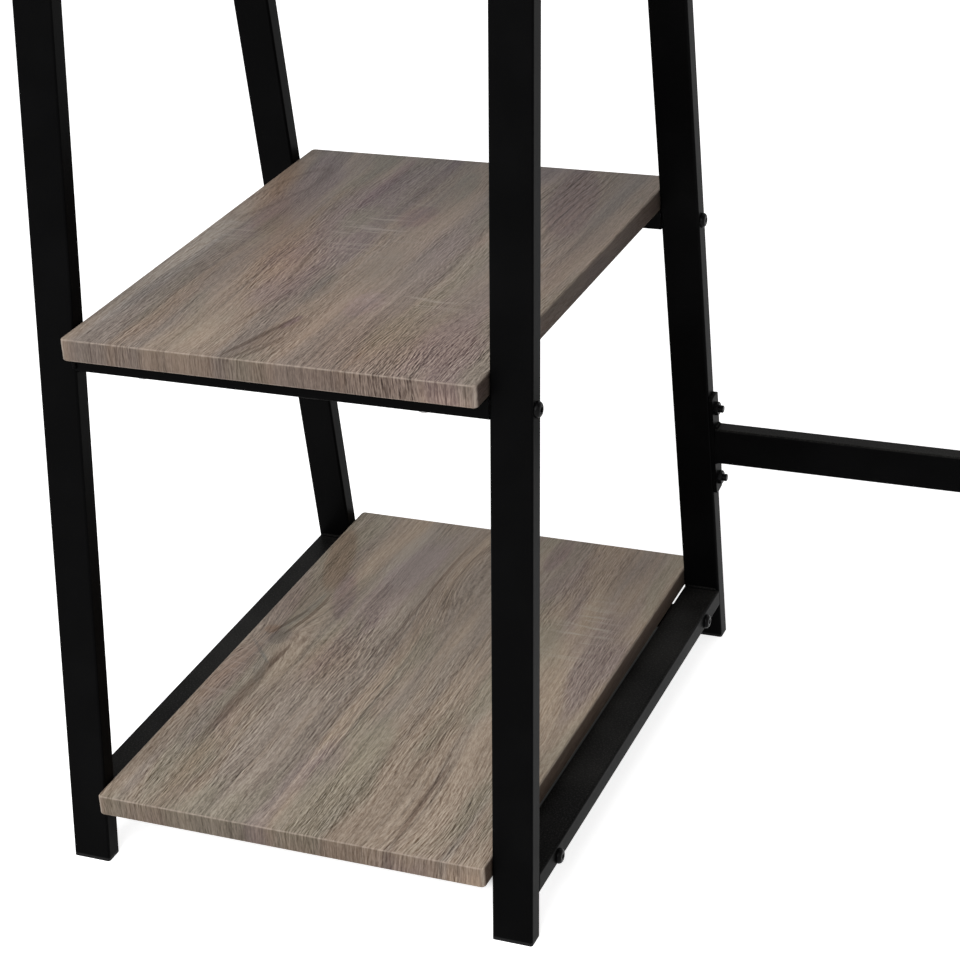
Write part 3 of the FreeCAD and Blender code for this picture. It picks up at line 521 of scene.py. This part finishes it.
lowerShelf = {
    "node": "lower_shelf_board", "seed": 8.6, "figure": 1.0, "stroke": 0.85, "alongDesk": False,
    "bends": [
        {"at": (-0.498, 0.010), "reach": (0.010, 0.040), "push": -0.009},
        {"at": (-0.476, 0.020), "reach": (0.012, 0.040), "push": 0.010},
        {"at": (-0.394, 0.130), "reach": (0.016, 0.070), "push": 0.012},
        {"at": (-0.300, -0.150), "reach": (0.030, 0.060), "push": -0.008},
    ],
    "patches": [
        {"at": (-0.380, 0.050), "reach": (0.500, 0.400), "tint": "pale", "amount": 1.0},
        {"at": (-0.494, 0.125), "reach": (0.012, 0.048), "lean": -0.26, "crisp": 0.6, "tint": "umber",
         "amount": 1.0},
        {"at": (-0.497, 0.062), "reach": (0.014, 0.034), "tint": "rose", "amount": 0.8},
        {"at": (-0.468, 0.076), "reach": (0.009, 0.034), "lean": -0.30, "crisp": 0.5, "tint": "plum",
         "amount": 1.0},
        {"at": (-0.428, 0.062), "reach": (0.014, 0.028), "tint": "bright", "amount": 0.7},
        {"at": (-0.440, 0.140), "reach": (0.019, 0.050), "crisp": 0.5, "tint": "blueGrey", "amount": 0.4},
        {"at": (-0.498, -0.040), "reach": (0.012, 0.045), "crisp": 0.4, "tint": "rose", "amount": 1.0},
        {"at": (-0.4775, -0.062), "reach": (0.0042, 0.062), "crisp": 0.6, "tint": "dark", "amount": 0.9},
        {"at": (-0.486, 0.012), "reach": (0.008, 0.012), "crisp": 0.5, "tint": "charcoal", "amount": 1.0},
        {"at": (-0.479, 0.045), "reach": (0.0019, 0.034), "lean": 0.12, "bow": -3.1, "crisp": 0.8,
         "tint": "dark", "amount": 1.0},
        {"at": (-0.484, 0.048), "reach": (0.0030, 0.030), "lean": 0.14, "bow": -3.1, "crisp": 0.6,
         "tint": "slate", "amount": 1.0},
        {"at": (-0.489, 0.032), "reach": (0.0018, 0.022), "lean": 0.30, "bow": -3.0, "crisp": 0.8,
         "tint": "dark", "amount": 0.9},
        {"at": (-0.496, 0.020), "reach": (0.006, 0.006), "crisp": 0.5, "tint": "brown", "amount": 1.0},
        {"at": (-0.490, -0.010), "reach": (0.0020, 0.016), "lean": -0.90, "crisp": 0.8, "tint": "slate",
         "amount": 1.0},
        {"at": (-0.4755, -0.012), "reach": (0.0018, 0.018), "lean": 0.05, "crisp": 0.8, "tint": "dark",
         "amount": 1.0},
        {"at": (-0.481, -0.030), "reach": (0.0040, 0.020), "lean": -0.25, "crisp": 0.5, "tint": "slate",
         "amount": 0.9},
        {"at": (-0.413, 0.095), "reach": (0.0013, 0.085), "bow": 0.5, "crisp": 0.7, "tint": "dark",
         "amount": 0.8},
        {"at": (-0.4085, -0.040), "reach": (0.0012, 0.120), "crisp": 0.5, "tint": "dark", "amount": 0.6},
        {"at": (-0.4005, -0.120), "reach": (0.0010, 0.080), "crisp": 0.6, "tint": "bright", "amount": 0.9},
        {"at": (-0.3935, -0.130), "reach": (0.0008, 0.070), "crisp": 0.6, "tint": "bright", "amount": 0.8},
        {"at": (-0.316, -0.145), "reach": (0.0024, 0.046), "bow": 0.6, "crisp": 0.6, "tint": "dark",
         "amount": 1.0},
        {"at": (-0.290, 0.168), "reach": (0.026, 0.036), "tint": "shade", "amount": 1.0},
        {"at": (-0.346, 0.174), "reach": (0.008, 0.028), "crisp": 0.6, "tint": "plum", "amount": 0.9},
        {"at": (-0.372, -0.110), "reach": (0.009, 0.040), "tint": "pale", "amount": 0.8},
        {"at": (-0.288, 0.020), "reach": (0.012, 0.070), "lean": -0.10, "tint": "bright", "amount": 0.9},
        {"at": (-0.405, 0.105), "reach": (0.014, 0.080), "tint": "shade", "amount": 0.3},
        {"at": (-0.395, -0.020), "reach": (0.013, 0.090), "tint": "shade", "amount": 0.2},
        {"at": (-0.440, -0.010), "reach": (0.018, 0.030), "tint": "brown", "amount": 0.6},
        # painted highlight at the right end of the front edge
        {"at": (-0.272, -0.205), "reach": (0.032, 0.018), "tint": "bright", "amount": 0.5},
        {"at": (-0.268, -0.212), "reach": (0.030, 0.011), "tint": "paintedHighlight", "amount": 0.6},
        {"at": (-0.365, -0.020), "reach": (0.009, 0.060), "crisp": 0.5, "tint": "slate", "amount": 0.5},
        {"at": (-0.335, -0.085), "reach": (0.0016, 0.040), "crisp": 0.5, "tint": "dark", "amount": 0.7},
        {"at": (-0.458, -0.160), "reach": (0.0015, 0.028), "lean": 0.10, "crisp": 0.5, "tint": "dark",
         "amount": 0.7},
        {"at": (-0.470, -0.150), "reach": (0.0060, 0.060), "tint": "brown", "amount": 0.7},
    ],
    "whorls": [
        {"at": (-0.394, 0.125), "reach": (0.016, 0.085), "rings": 1.9, "amount": 0.35},
    ],
    "figured": [
        {"at": (-0.398, 0.110), "reach": (0.018, 0.090), "amount": 1.5},
        {"at": (-0.485, 0.050), "reach": (0.016, 0.060), "amount": 1.3},
        {"at": (-0.398, -0.090), "reach": (0.010, 0.110), "amount": 1.2},
        {"at": (-0.318, -0.130), "reach": (0.014, 0.060), "amount": 1.0},
    ],
    "coarse": [
        {"at": (-0.440, 0.000), "reach": (0.035, 0.050), "amount": 0.9},
        {"at": (-0.380, -0.190), "reach": (0.300, 0.150), "amount": 0.7},
        {"at": (-0.440, 0.150), "reach": (0.022, 0.050), "amount": -0.6},
    ],
    "ripples": [
        {"at": (-0.495, -0.040), "reach": (0.014, 0.044), "amount": 0.50},
        {"at": (-0.290, 0.075), "reach": (0.020, 0.038), "amount": 0.70},
    ]}
desktop = {
    "node": "desktop_board", "seed": 14.2, "figure": 1.0, "stroke": 1.1, "alongDesk": True,
    "bends": [
        {"at": (-0.060, -0.330), "reach": (0.030, 0.120), "push": 0.030},
        {"at": (0.110, 0.210), "reach": (0.024, 0.070), "push": 0.026},
        {"at": (-0.150, 0.330), "reach": (0.034, 0.160), "push": -0.026},
        {"at": (0.160, -0.180), "reach": (0.026, 0.090), "push": -0.020},
    ],
    "patches": [
        {"at": (0.106, 0.206), "reach": (0.007, 0.012), "crisp": 0.6, "tint": "charcoal", "amount": 1.0},
        {"at": (-0.050, -0.300), "reach": (0.022, 0.100), "lean": 0.06, "tint": "brown", "amount": 1.0},
        {"at": (-0.130, 0.120), "reach": (0.012, 0.130), "crisp": 0.7, "tint": "plum", "amount": 0.8},
        {"at": (0.060, -0.080), "reach": (0.024, 0.120), "tint": "pale", "amount": 0.8},
        {"at": (0.180, 0.420), "reach": (0.018, 0.090), "crisp": 0.4, "tint": "slate", "amount": 0.9},
        {"at": (-0.200, -0.120), "reach": (0.014, 0.110), "lean": -0.04, "tint": "rose", "amount": 1.0},
        {"at": (0.020, 0.330), "reach": (0.020, 0.070), "tint": "haze", "amount": 0.8},
        {"at": (0.135, -0.420), "reach": (0.016, 0.070), "crisp": 0.5, "tint": "umber", "amount": 0.8},
        {"at": (-0.078, 0.020), "reach": (0.004, 0.045), "lean": 0.10, "crisp": 0.5, "tint": "dark",
         "amount": 0.55},
    ],
    "whorls": [
        {"at": (0.108, 0.208), "reach": (0.012, 0.026), "rings": 2.2, "amount": 0.40},
        {"at": (-0.060, -0.330), "reach": (0.020, 0.120), "lean": 0.05, "rings": 2.6, "amount": 0.16},
        {"at": (-0.150, 0.330), "reach": (0.022, 0.150), "lean": -0.03, "rings": 2.6, "amount": 0.16},
        {"at": (-0.078, 0.010), "reach": (0.011, 0.062), "lean": 0.10, "rings": 1.5, "amount": 0.25},
    ],
    "figured": [
        {"at": (0.110, 0.180), "reach": (0.040, 0.160), "amount": 1.2},
        {"at": (-0.060, -0.330), "reach": (0.040, 0.160), "amount": 1.0},
        {"at": (-0.150, 0.330), "reach": (0.040, 0.180), "amount": 1.0},
        {"at": (0.030, -0.130), "reach": (0.020, 0.200), "amount": 0.8},
    ],
    "coarse": [
        {"at": (-0.020, 0.020), "reach": (0.060, 0.110), "amount": 0.7},
        {"at": (0.150, -0.400), "reach": (0.060, 0.100), "amount": 0.9},
    ],
    "ripples": [
        {"at": (0.020, 0.330), "reach": (0.030, 0.050), "amount": 0.60},
        {"at": (-0.110, -0.100), "reach": (0.026, 0.040), "amount": 0.60},
        {"at": (0.090, -0.240), "reach": (0.022, 0.050), "amount": 0.50},
    ]}

materials = {
    "frame_paint": coatMaterial("framePaint", framePaint),
    "black_fastener": coatMaterial("fastenerCoat", fastenerCoat),
    "foot_plastic": coatMaterial("footPlastic", footPlastic),
    "zinc_steel": coatMaterial("zincPlate", zincPlate),
}
boardBacking = backingMaterial()
print("finishes:", len(bpy.data.materials))


# frame nodes take their finish

slots = {item["node"]: item["material_slot"] for item in frame["record"]["subparts"]}
for name, node in frame["nodes"].items():
    if slots[name] in materials:
        node.data.materials.clear()
        node.data.materials.append(materials[slots[name]])
print("dressed nodes:", sum(slots[name] in materials for name in frame["nodes"]))


def finishPiece(name, bm, materialList):
    mesh = bpy.data.meshes.new(name)
    bm.to_mesh(mesh)
    bm.free()
    for material in materialList:
        mesh.materials.append(material)
    piece = bpy.data.objects.new(name, mesh)
    bpy.context.scene.collection.objects.link(piece)
    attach(piece, "root")
    return piece


# boards: foil runs over the eased edges and down the sides

boardShape = {"corner": 0.003, "cornerSteps": 8, "ease": 0.0012, "easeSteps": 4, "easeMiddle": 0.293,
              "lip": 0.004, "recess": 0.0002, "endShade": 0.71}
hair = 1e-5  # lengths under this count as none


def outwards(point, low, high, inset):  # the way to the nearest side, flat, or none inside
    inner = Vector((min(max(point.x, low.x + inset), high.x - inset),
                    min(max(point.y, low.y + inset), high.y - inset), 0))
    away = Vector((point.x, point.y, 0)) - inner
    return away.normalized() if away.length > 1e-7 else Vector()


def makeBoard(name, board, material):
    low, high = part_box(board["node"])
    size, middle = high - low, (high + low) / 2
    bm = bmesh.new()
    bmesh.ops.create_cube(bm, size=1, matrix=Matrix.Translation(middle) @ Matrix.Diagonal((*size, 1)))
    upright = [e for e in bm.edges if abs(e.verts[0].co.z - e.verts[1].co.z) > size.z / 2]
    bmesh.ops.bevel(bm, geom=upright, offset=boardShape["corner"], segments=boardShape["cornerSteps"],
                    profile=0.5, affect="EDGES", material=-1)
    flat = [e for e in bm.edges if abs(e.verts[0].co.z - e.verts[1].co.z) < 1e-6]
    bmesh.ops.bevel(bm, geom=flat, offset=boardShape["ease"], segments=boardShape["easeSteps"],
                    profile=0.5, affect="EDGES", material=-1)
    under = [f for f in bm.faces if f.normal.z < -0.999]
    bmesh.ops.inset_region(bm, faces=under, thickness=boardShape["lip"], use_even_offset=True)
    for face in under:
        face.material_index = 1
        for vert in face.verts:
            vert.co.z += boardShape["recess"]

    grain = bm.loops.layers.uv.new("grain")
    # where the painted highlight goes: eased edges and upright corners
    paintedRimHighlight = bm.verts.layers.float.new("paintedRimHighlight")
    paintedSideShade = bm.verts.layers.float.new("side")
    for vert in bm.verts:
        side = outwards(vert.co, low, high, boardShape["corner"])
        depth = min(high.z - vert.co.z, vert.co.z - low.z)
        reach = min(vert.co.x - low.x, high.x - vert.co.x, vert.co.y - low.y, high.y - vert.co.y)
        eased = min(depth, reach) / (boardShape["easeMiddle"] * boardShape["ease"])
        vert[paintedRimHighlight] = min(1.0, max(0.0, eased) if reach < boardShape["ease"] else 0.0)
        if depth > hair:  # upright corners get the painted highlight too, but not the flat faces between them
            vert[paintedRimHighlight] = max(vert[paintedRimHighlight], 4 * side.x * side.x * side.y * side.y)
        # painted shade on the sides: full on the ±x sides, endShade of it on the front and back
        sideShadeWeight = boardShape["endShade"] + (1 - boardShape["endShade"]) * abs(side.x)
        vert[paintedSideShade] = sideShadeWeight * min(1.0, max(0.0, 1 - reach / boardShape["ease"]))
        drop = high.z - vert.co.z
        spread = (vert.co.x + side.x * drop, vert.co.y + side.y * drop)
        if board["alongDesk"]:
            spread = (spread[1], spread[0])
        for loop in vert.link_loops:
            loop[grain].uv = spread
    for face in bm.faces:
        face.smooth = True
    piece = finishPiece(name, bm, [material, boardBacking])
    even = piece.modifiers.new("even normals", "WEIGHTED_NORMAL")
    even.weight = 100
    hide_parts(board["node"])
    return piece


makeBoard("upper_shelf_foil_board", upperShelf, oakMaterial("oakUpperShelf", upperShelf))
makeBoard("lower_shelf_foil_board", lowerShelf, oakMaterial("oakLowerShelf", lowerShelf))
makeBoard("desktop_foil_board", desktop, oakMaterial("oakDesktop", desktop))
print("boards: 3")


# weld beads where rails meet legs and the stretcher meets its plates

bead = {"radius": 0.0016, "sides": 12, "ripple": 0.0011, "rippleSteps": 4, "rippleDepth": 0.13,
        "endGap": 0.0016, "bluntness": 7}
legLean = math.radians(7.1)


def addBead(bm, start, end):
    way = end - start
    length = way.length - 2 * bead["endGap"]
    turn = way.to_track_quat("Z", "Y").to_matrix().to_4x4()
    one = bmesh.new()
    bmesh.ops.create_cone(one, cap_ends=True, segments=bead["sides"], radius1=bead["radius"],
                          radius2=bead["radius"], depth=length)
    lengthwise = [e for e in one.edges if e.calc_length() > length * 0.9]
    cuts = round(length / bead["ripple"]) * bead["rippleSteps"]
    bmesh.ops.subdivide_edges(one, edges=lengthwise, cuts=cuts)
    for vert in one.verts:
        along = vert.co.z / (length / 2)
        swell = math.sqrt(max(0.0, 1 - abs(along) ** bead["bluntness"]))
        swell *= 1 + bead["rippleDepth"] * math.sin(math.tau * vert.co.z / bead["ripple"])
        vert.co.x *= swell
        vert.co.y *= swell
    bmesh.ops.transform(one, matrix=Matrix.Translation((start + end) / 2) @ turn, verts=one.verts)
    mesh = bpy.data.meshes.new("bead")
    one.to_mesh(mesh)
    one.free()
    bm.from_mesh(mesh)
    bpy.data.meshes.remove(mesh)


def finishBeads(name, bm):
    bmesh.ops.remove_doubles(bm, verts=bm.verts, dist=1e-6)
    bmesh.ops.recalc_face_normals(bm, faces=bm.faces)
    for face in bm.faces:
        face.smooth = True
    return finishPiece(name, bm, [materials["frame_paint"]])


def railJoints(rail, isTop):  # the lines where a rail's top and underside meet the two legs
    low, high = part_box(rail)
    levels = [(high.y, low.z)]
    if not isTop:
        levels.append((high.y - (high.z - low.z) * math.tan(legLean), high.z))
    lines = []
    for sign in (-1, 1):
        for reach, z in levels:
            lines.append((Vector((low.x, sign * reach, z)), Vector((high.x, sign * reach, z))))
    return lines


for frameName in ("tower_outer", "tower_inner", "trestle"):
    bm = bmesh.new()
    for rail, isTop in (("lower_rail", False), ("top_rail", True)):
        for start, end in railJoints(f"{frameName}_{rail}", isTop):
            addBead(bm, start, end)
    finishBeads(f"{frameName}_weld_beads", bm)

bm = bmesh.new()
tubeLow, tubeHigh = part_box("stretcher_tube")
for x in (tubeLow.x, tubeHigh.x):
    for z in (tubeLow.z, tubeHigh.z):
        addBead(bm, Vector((x, tubeLow.y, z)), Vector((x, tubeHigh.y, z)))
finishBeads("stretcher_weld_beads", bm)

bm = bmesh.new()
for shelf in ("lower_shelf", "upper_shelf"):
    for end in ("front", "back"):
        low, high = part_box(f"{shelf}_{end}_bar")
        for y in (low.y, high.y):
            addBead(bm, Vector((low.x, y, low.z)), Vector((low.x, y, high.z)))
        addBead(bm, Vector((low.x, low.y, low.z)), Vector((low.x, high.y, low.z)))
finishBeads("shelf_bar_weld_beads", bm)
print("weld beads: 5 pieces")


# floor, light, camera

studio = {"floorTone": (0.86, 0.86, 0.86), "floorSize": 9, "floorLift": 0.80,
          "shadePlace": (-0.375, 0.035, 0), "shadeReach": (0.128, 0.185), "shadeFade": 0.024,
          "shadeDepth": 0.97, "ambient": 0.50, "rightShare": 0.40, "aim": (-0.2, 0.0, 0.3)}
lamps = {
    "keyLight": {"power": 98, "size": 2.6, "place": (-0.75, -2.6, 2.3)},
    "fillLight": {"power": 5, "size": 2.4, "place": (2.0, -1.9, 1.9)},
}


def seenDirectly(tree):  # 1 for what the camera, a gloss or a clear surface shows
    path = addNode(tree, "ShaderNodeLightPath")
    seen = maths(tree, "MAXIMUM", path.outputs["Is Camera Ray"], path.outputs["Is Glossy Ray"])
    return maths(tree, "MAXIMUM", seen, path.outputs["Is Transmission Ray"])


def makeFloor():  # pale paper, with a soft box of shade under the lower shelf
    bm = bmesh.new()
    bmesh.ops.create_grid(bm, x_segments=1, y_segments=1, size=studio["floorSize"])
    mesh = bpy.data.meshes.new("studioFloor")
    bm.to_mesh(mesh)
    bm.free()
    floor = bpy.data.objects.new("studioFloor", mesh)
    bpy.context.scene.collection.objects.link(floor)
    material, tree, shader = newMaterial("floorPaper")
    place = addNode(tree, "ShaderNodeTexCoord").outputs["Object"]
    away = vectorMaths(tree, "SUBTRACT", place, studio["shadePlace"])
    under = 1.0
    for part, reach in zip(takeApart(tree, vectorMaths(tree, "ABSOLUTE", away)), studio["shadeReach"]):
        under = maths(tree, "MULTIPLY", under, remap(tree, part, reach, reach - studio["shadeFade"]))
    clear = maths(tree, "MULTIPLY_ADD", under, -studio["shadeDepth"], 1.0)
    paper = vectorMaths(tree, "MULTIPLY", studio["floorTone"], joinUp(tree, clear, clear, clear))
    tree.links.new(paper, shader.inputs["Base Color"])
    shader.inputs["Roughness"].default_value = 0.95
    shader.inputs["Specular IOR Level"].default_value = 0.1
    shader.inputs["Emission Color"].default_value = (1, 1, 1, 1)
    lift = maths(tree, "MULTIPLY", clear, studio["floorLift"])
    lift = maths(tree, "MULTIPLY", seenDirectly(tree), lift)
    tree.links.new(lift, shader.inputs["Emission Strength"])
    mesh.materials.append(material)


def makeWorld():  # white where it is seen, softer as a light, and weaker from the right
    world = bpy.data.worlds.new("studioWorld")
    bpy.context.scene.world = world
    world.use_nodes = True
    tree = world.node_tree
    tree.nodes.clear()
    output = addNode(tree, "ShaderNodeOutputWorld")
    backdrop = addNode(tree, "ShaderNodeBackground")
    way = takeApart(tree, addNode(tree, "ShaderNodeTexCoord").outputs["Generated"])
    soft = remap(tree, way[0], -0.1, 0.9, studio["ambient"], studio["ambient"] * studio["rightShare"])
    strength = maths(tree, "MAXIMUM", seenDirectly(tree), soft)
    tree.links.new(strength, backdrop.inputs["Strength"])
    backdrop.inputs["Color"].default_value = (1, 1, 1, 1)
    tree.links.new(backdrop.outputs[0], output.inputs["Surface"])


def makeLamp(name, values):
    light = bpy.data.lights.new(name, "AREA")
    light.energy = values["power"]
    light.size = values["size"]
    lamp = bpy.data.objects.new(name, light)
    lamp.location = values["place"]
    way = Vector(studio["aim"]) - lamp.location
    lamp.rotation_euler = way.to_track_quat("-Z", "Y").to_euler()
    bpy.context.scene.collection.objects.link(lamp)


makeFloor()
makeWorld()
for name, values in lamps.items():
    makeLamp(name, values)

view = {"place": (0.2158, -1.2631, 0.8709), "yaw": 24.674, "down": 27.750, "roll": -4.028,
        "lens": 92.45, "shiftX": 0.0503, "shiftY": 0.0763}


def makeCamera():
    data = bpy.data.cameras.new("camera")
    data.sensor_width = 36
    data.lens = view["lens"]
    data.shift_x = view["shiftX"]
    data.shift_y = view["shiftY"]
    data.clip_start = 0.05
    data.clip_end = 50
    camera = bpy.data.objects.new("camera", data)
    turn = Matrix.Rotation(math.radians(view["yaw"]), 4, "Z")
    turn = turn @ Matrix.Rotation(math.radians(90 - view["down"]), 4, "X")
    turn = turn @ Matrix.Rotation(math.radians(view["roll"]), 4, "Z")
    camera.matrix_world = Matrix.Translation(view["place"]) @ turn
    bpy.context.scene.collection.objects.link(camera)
    bpy.context.scene.camera = camera


makeCamera()
bpy.context.scene.view_settings.view_transform = "Standard"
print("studio ready")
